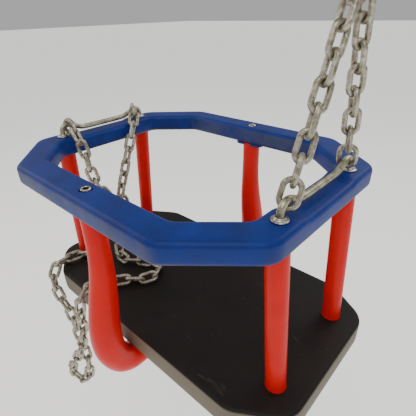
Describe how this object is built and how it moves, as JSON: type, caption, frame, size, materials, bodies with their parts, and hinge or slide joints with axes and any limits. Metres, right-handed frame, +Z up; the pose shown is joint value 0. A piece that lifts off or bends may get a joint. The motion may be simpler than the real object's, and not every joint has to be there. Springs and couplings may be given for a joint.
{
  "type": "toddler cage swing seat",
  "caption": "Hanging toddler seat: an octagonal grab ring held over a flat rubber seat by tubes and curved posts, hung on two bent bars and steel chains.",
  "frame": {"origin": "midway between the two hanger bars, in the plane of the ring's top face", "axes": "+Z is up, +X runs from the left hanger bar to the right one, -Y is the front, the side the loose chain hangs over"},
  "size_m": [0.46, 0.352, 0.6453],
  "materials": {
    "blue_plastic": "moulded royal blue plastic, satin, with fine scratches",
    "red_plastic": "moulded orange-red plastic, semi-gloss",
    "black_rubber": "moulded black rubber, matte, worn brown at the rim",
    "galvanised_steel": "dull hot-dip galvanised steel",
    "zinc_plated_steel": "bright zinc plate",
    "bare_steel": "black primed steel"
  },
  "bodies": {
    "cage": {"chain_left_hanging_loop": "galvanised_steel", "chain_left_return_run": "galvanised_steel", "chain_left_seat_run": "galvanised_steel", "hanger_left": "galvanised_steel", "hanger_right": "galvanised_steel", "hanger_washer_left_back": "zinc_plated_steel", "hanger_washer_left_front": "zinc_plated_steel", "hanger_washer_right_back": "zinc_plated_steel", "hanger_washer_right_front": "zinc_plated_steel", "post_back": "red_plastic", "post_bolt_back": "zinc_plated_steel", "post_bolt_front": "zinc_plated_steel", "post_collar_back": "blue_plastic", "post_collar_front": "blue_plastic", "post_front": "red_plastic", "post_screw_back": "zinc_plated_steel", "post_screw_front": "zinc_plated_steel", "ring_hoop": "bare_steel", "ring_shell": "blue_plastic", "seat_nut_left_back": "zinc_plated_steel", "seat_nut_left_front": "zinc_plated_steel", "seat_nut_right_back": "zinc_plated_steel", "seat_nut_right_front": "zinc_plated_steel", "seat_pad": "black_rubber", "seat_plate": "bare_steel", "seat_washer_left_back": "zinc_plated_steel", "seat_washer_left_front": "zinc_plated_steel", "seat_washer_right_back": "zinc_plated_steel", "seat_washer_right_front": "zinc_plated_steel", "side_tube_left_back": "red_plastic", "side_tube_left_front": "red_plastic", "side_tube_right_back": "red_plastic", "side_tube_right_front": "red_plastic"},
    "right_chain": {"chain_right_back_first_link": "galvanised_steel", "chain_right_back_leg": "galvanised_steel", "chain_right_front_first_link": "galvanised_steel", "chain_right_front_leg": "galvanised_steel", "chain_right_ring": "galvanised_steel"},
    "right_shackle": {"chain_right_shackle": "zinc_plated_steel", "chain_right_shackle_pin": "zinc_plated_steel"},
    "left_chain": {"chain_left_back_first_link": "galvanised_steel", "chain_left_back_leg": "galvanised_steel", "chain_left_front_first_link": "galvanised_steel", "chain_left_front_leg": "galvanised_steel", "chain_left_ring": "galvanised_steel"}
  },
  "joints": [
    {"name": "right_chain_hinge", "type": "hinge", "parent": "cage", "child": "right_chain", "pos_m": [0.182, 0, 0.015], "axis": [0, 1, 0], "range_deg": [-90, 0]},
    {"name": "right_shackle_hinge", "type": "hinge", "parent": "right_chain", "child": "right_shackle", "pos_m": [0.18884, 0.0047, 0.18917], "axis": [0.3184, 0.9474, -0.032], "range_deg": [-60, 0]},
    {"name": "left_chain_hinge", "type": "hinge", "parent": "cage", "child": "left_chain", "pos_m": [-0.182, 0, 0.015], "axis": [0, 1, 0], "range_deg": [-150, 0]}
  ]
}
